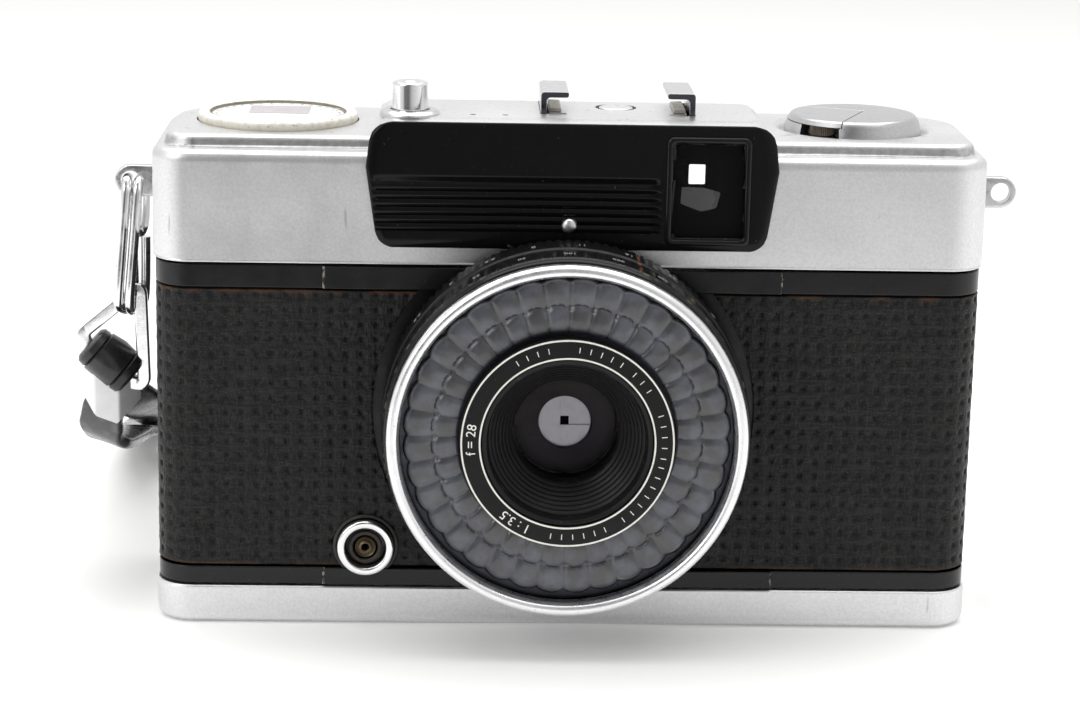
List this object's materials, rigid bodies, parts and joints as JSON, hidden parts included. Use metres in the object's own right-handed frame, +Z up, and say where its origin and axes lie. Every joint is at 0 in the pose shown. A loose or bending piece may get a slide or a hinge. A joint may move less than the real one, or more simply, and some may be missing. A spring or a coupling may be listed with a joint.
{
  "type": "half frame camera",
  "caption": "Compact half-frame film camera with a selenium cell ring round the lens, a hinged back, thumbwheel advance, folding rewind crank and a wrist strap.",
  "frame": {"origin": "middle of the base, at the bottom centre of the camera's box without its wrist strap", "axes": "+X along the camera's length, to the right as seen from the lens side; +Y from the lens to the back door; +Z up"},
  "size_m": [0.1262, 0.1292, 0.0716],
  "materials": {
    "satin_silver": "satin, fine-grained",
    "bright_chrome": "polished",
    "black_enamel": "semi-gloss",
    "matt_black": "matt",
    "leatherette": "embossed with a fine square grid",
    "strap_leather": "smooth, worn grey at the edges",
    "ivory_plastic": "slightly yellowed",
    "clear_glass": "clear",
    "selenium": "dark blue-grey",
    "brass": "plain",
    "steel": "machined",
    "red_flag": "matt"
  },
  "bodies": {
    "root": {"top_cover": "satin_silver", "base_plate": "satin_silver", "front_trim_ring": "bright_chrome", "lug_left": "bright_chrome", "lug_right": "bright_chrome", "sync_collar": "bright_chrome", "accessory_shoe": "bright_chrome", "release_collar": "bright_chrome", "index_stud": "bright_chrome", "strap_ring": "bright_chrome", "strap_clamp": "bright_chrome", "front_fascia": "black_enamel", "finder_frame": "black_enamel", "lens_panel": "black_enamel", "lens_name_ring": "black_enamel", "eyepiece_frame": "black_enamel", "body_casting": "matt_black", "shutter_block": "matt_black", "lens_barrel": "matt_black", "finder_tube": "matt_black", "sync_insulator": "matt_black", "leatherette_left": "leatherette", "leatherette_right": "leatherette", "wrist_strap": "strap_leather", "counter_bezel": "ivory_plastic", "counter_window": "clear_glass", "cell_window": "clear_glass", "front_lens_element": "clear_glass", "rear_lens_element": "clear_glass", "finder_window": "clear_glass", "finder_eyepiece": "clear_glass", "selenium_cell": "selenium", "sync_contact": "brass", "shoe_contact": "brass", "tripod_bush": "steel", "hinge_pin": "steel", "meter_movement": "steel"},
    "shutter_button": {"shutter_button": "bright_chrome"},
    "aperture_ring": {"aperture_ring": "black_enamel"},
    "film_speed_ring": {"film_speed_ring": "black_enamel"},
    "diaphragm_front": {"diaphragm_blade_front": "steel"},
    "diaphragm_rear": {"diaphragm_blade_rear": "steel"},
    "shutter_left": {"shutter_blade_left": "steel"},
    "shutter_right": {"shutter_blade_right": "steel"},
    "low_light_flag": {"low_light_flag": "red_flag"},
    "advance_wheel": {"advance_wheel": "satin_silver"},
    "take_up_spool": {"take_up_spool": "black_enamel"},
    "film_sprocket": {"film_sprocket": "steel"},
    "counter_dial": {"counter_dial": "ivory_plastic"},
    "rewind_sleeve": {"rewind_sleeve": "brass"},
    "rewind_knob": {"rewind_knob": "satin_silver", "rewind_shaft": "steel"},
    "rewind_crank": {"rewind_crank": "satin_silver"},
    "rewind_release": {"rewind_release": "steel"},
    "back_door": {"back_door": "black_enamel", "back_leatherette": "leatherette", "pressure_spring": "steel"},
    "pressure_plate": {"pressure_plate": "steel"},
    "door_latch": {"door_latch": "satin_silver"},
    "strap_link": {"strap_link": "bright_chrome"}
  },
  "joints": [
    {"name": "shutter_press", "type": "slide", "parent": "root", "child": "shutter_button", "axis": [0, 0, -1], "range_m": [0, 0.0014], "stiffness_N_per_m": 300},
    {"name": "aperture_turn", "type": "hinge", "parent": "root", "child": "aperture_ring", "pos_m": [-0.0005, -0.0133, 0.0292], "axis": [0, -1, 0], "range_deg": [0, 110]},
    {"name": "film_speed_turn", "type": "hinge", "parent": "root", "child": "film_speed_ring", "pos_m": [-0.0005, -0.0186, 0.0292], "axis": [0, -1, 0], "range_deg": [-45, 45]},
    {"name": "diaphragm_open", "type": "slide", "parent": "root", "child": "diaphragm_front", "axis": [-0.7071, 0, -0.7071], "range_m": [0, 0.004]},
    {"name": "diaphragm_follow", "type": "slide", "parent": "root", "child": "diaphragm_rear", "axis": [0.7071, 0, 0.7071], "range_m": [0, 0.004]},
    {"name": "shutter_open", "type": "slide", "parent": "root", "child": "shutter_left", "axis": [-1, 0, 0], "range_m": [0, 0.005], "stiffness_N_per_m": 20},
    {"name": "shutter_follow", "type": "slide", "parent": "root", "child": "shutter_right", "axis": [1, 0, 0], "range_m": [0, 0.005], "stiffness_N_per_m": 20},
    {"name": "flag_swing", "type": "hinge", "parent": "root", "child": "low_light_flag", "pos_m": [0.01, -0.0066, 0.0585], "axis": [0, -1, 0], "range_deg": [0, 50]},
    {"name": "advance_turn", "type": "hinge", "parent": "root", "child": "advance_wheel", "pos_m": [-0.0385, 0.013, 0.051], "axis": [0, 0, 1], "continuous": true},
    {"name": "take_up_turn", "type": "hinge", "parent": "root", "child": "take_up_spool", "pos_m": [-0.0383, 0.0074, 0.027], "axis": [0, 0, 1], "continuous": true},
    {"name": "sprocket_turn", "type": "hinge", "parent": "root", "child": "film_sprocket", "pos_m": [-0.02, 0.0108, 0.029], "axis": [0, 0, 1], "continuous": true},
    {"name": "counter_turn", "type": "hinge", "parent": "root", "child": "counter_dial", "pos_m": [-0.03846, 0.0072, 0.06], "axis": [0, 0, 1], "continuous": true},
    {"name": "rewind_lift", "type": "slide", "parent": "root", "child": "rewind_sleeve", "axis": [0, 0, 1], "range_m": [0, 0.006]},
    {"name": "rewind_turn", "type": "hinge", "parent": "rewind_sleeve", "child": "rewind_knob", "pos_m": [0.0378, 0.0074, 0.065], "axis": [0, 0, 1], "continuous": true},
    {"name": "crank_fold", "type": "hinge", "parent": "rewind_knob", "child": "rewind_crank", "pos_m": [0.03401, 0.01166, 0.0668], "axis": [-0.9225, 0.3859, 0], "range_deg": [0, 165]},
    {"name": "rewind_release_press", "type": "slide", "parent": "root", "child": "rewind_release", "axis": [0, 0, 1], "range_m": [0, 0.0012], "stiffness_N_per_m": 200},
    {"name": "door_open", "type": "hinge", "parent": "root", "child": "back_door", "pos_m": [-0.051, 0.0209, 0.027], "axis": [0, 0, 1], "range_deg": [0, 90]},
    {"name": "pressure_plate_press", "type": "slide", "parent": "back_door", "child": "pressure_plate", "axis": [0, 1, 0], "range_m": [0, 0.001], "stiffness_N_per_m": 300, "deforming": ["pressure_spring"]},
    {"name": "latch_slide", "type": "slide", "parent": "root", "child": "door_latch", "axis": [0, 0, -1], "range_m": [0, 0.003], "stiffness_N_per_m": 250},
    {"name": "strap_link_swing", "type": "hinge", "parent": "root", "child": "strap_link", "pos_m": [-0.0582, 0.00725, 0.0564], "axis": [0, -1, 0], "range_deg": [-1.5, 1]}
  ],
  "couplings": [
    {"joint": "diaphragm_follow", "follows": "diaphragm_open", "ratio": 1},
    {"joint": "shutter_follow", "follows": "shutter_open", "ratio": 1},
    {"joint": "take_up_turn", "follows": "advance_turn", "ratio": 1.25},
    {"joint": "sprocket_turn", "follows": "advance_turn", "ratio": 1.8},
    {"joint": "counter_turn", "follows": "advance_turn", "ratio": -0.05}
  ]
}
